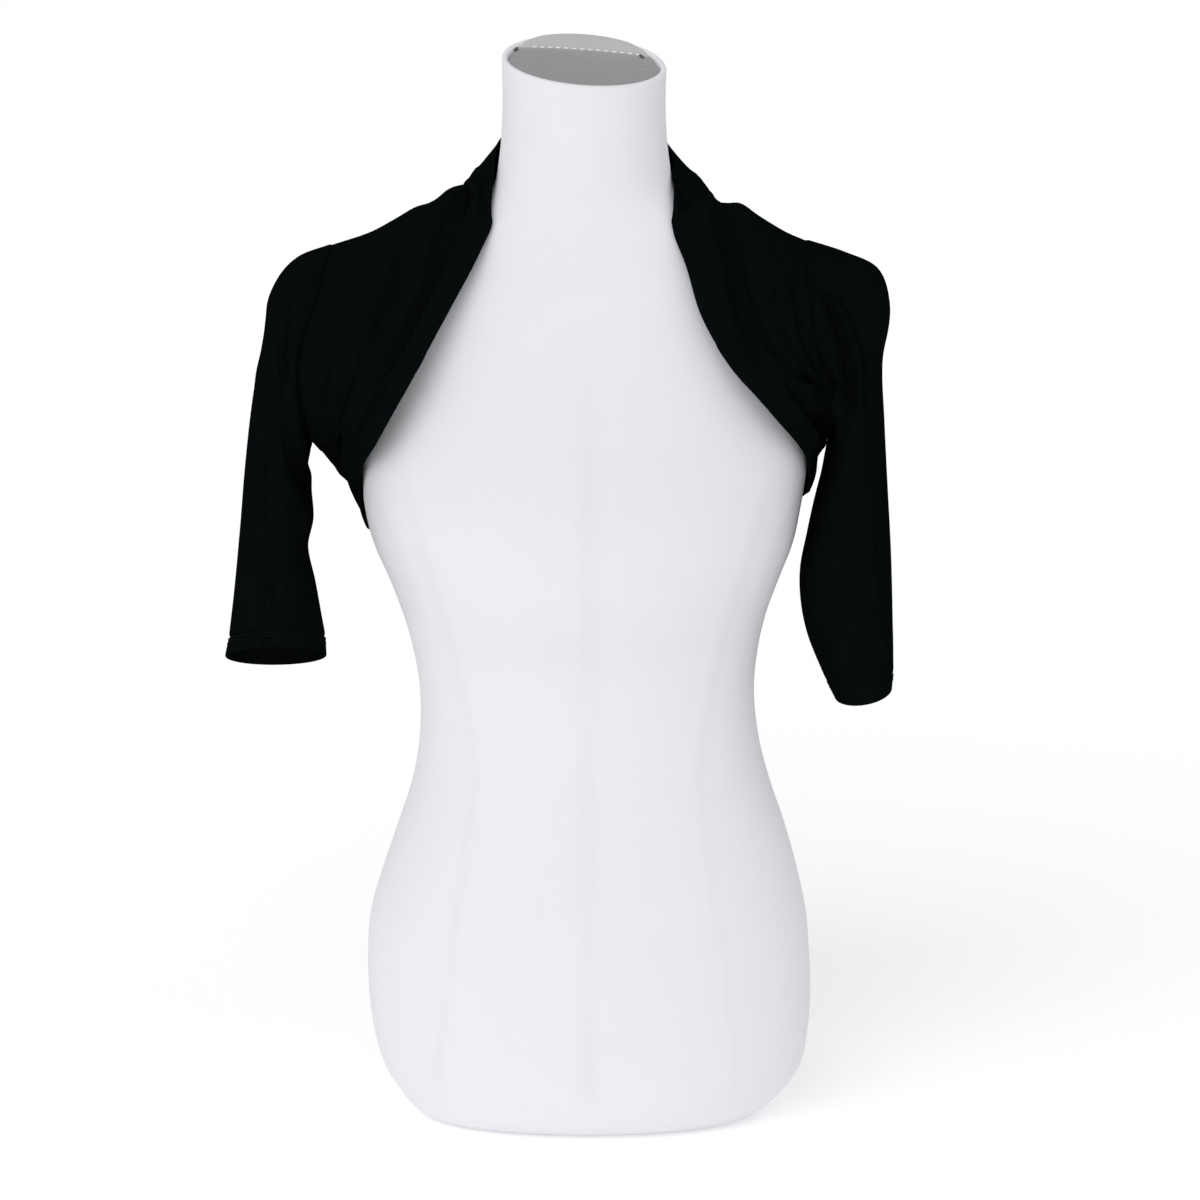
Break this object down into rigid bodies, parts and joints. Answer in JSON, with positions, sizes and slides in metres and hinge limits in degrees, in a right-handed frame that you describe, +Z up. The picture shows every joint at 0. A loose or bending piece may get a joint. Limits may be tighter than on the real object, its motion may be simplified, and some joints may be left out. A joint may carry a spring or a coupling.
{
  "type": "knitted shrug on a limbless dress form",
  "caption": "Short open-front knitted shrug with elbow-length sleeves and a band round its edge, worn on a limbless torso dress form.",
  "frame": {"origin": "centre of the dress form's flat base, on the floor", "axes": "+Z up the form's height, -Y the front of the form, -X the wearer's right"},
  "size_m": [0.469, 0.231, 0.7624],
  "materials": {
    "jersey": "fine black jersey knit",
    "form_cover": "white jersey stretched over padding",
    "cap_cloth": "white jersey in shade"
  },
  "bodies": {
    "root": {"form_torso": "form_cover", "neck_cap": "cap_cloth", "back": "jersey", "band_back_neck": "jersey", "band_back_hem": "jersey", "front_right": "jersey", "band_front_right": "jersey", "sleeve_right": "jersey", "cuff_right": "jersey", "front_left": "jersey", "band_front_left": "jersey", "sleeve_left": "jersey", "cuff_left": "jersey"}
  },
  "joints": []
}
